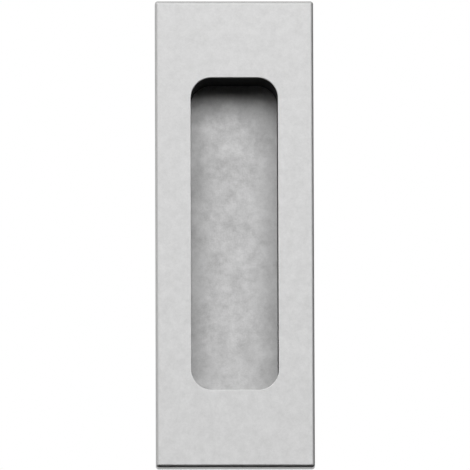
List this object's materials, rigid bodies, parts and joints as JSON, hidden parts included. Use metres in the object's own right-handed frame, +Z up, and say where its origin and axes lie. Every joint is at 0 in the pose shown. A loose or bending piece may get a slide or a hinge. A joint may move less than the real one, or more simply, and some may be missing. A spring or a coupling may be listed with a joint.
{
  "type": "pocket door pull",
  "caption": "Rectangular flush pull for a sliding or pocket door, with a rounded finger recess and hidden screws.",
  "frame": {"origin": "middle of the pull's back, in the plane of the door's face", "axes": "+Z up along the long side, +X to the right as one faces the door, +Y into the door"},
  "size_m": [0.05, 0.017, 0.15],
  "materials": {
    "satin_stainless": "satin stainless steel, finely ground along its length",
    "black_nylon": "moulded black nylon",
    "satin_stainless_plate": "satin stainless sheet, bead blasted",
    "zinc_plated_steel": "bright zinc plating"
  },
  "bodies": {
    "root": {"face_cover": "satin_stainless", "housing": "black_nylon", "recess_plate": "satin_stainless_plate", "screw_upper_left": "zinc_plated_steel", "screw_upper_right": "zinc_plated_steel", "screw_lower_left": "zinc_plated_steel", "screw_lower_right": "zinc_plated_steel"}
  },
  "joints": []
}
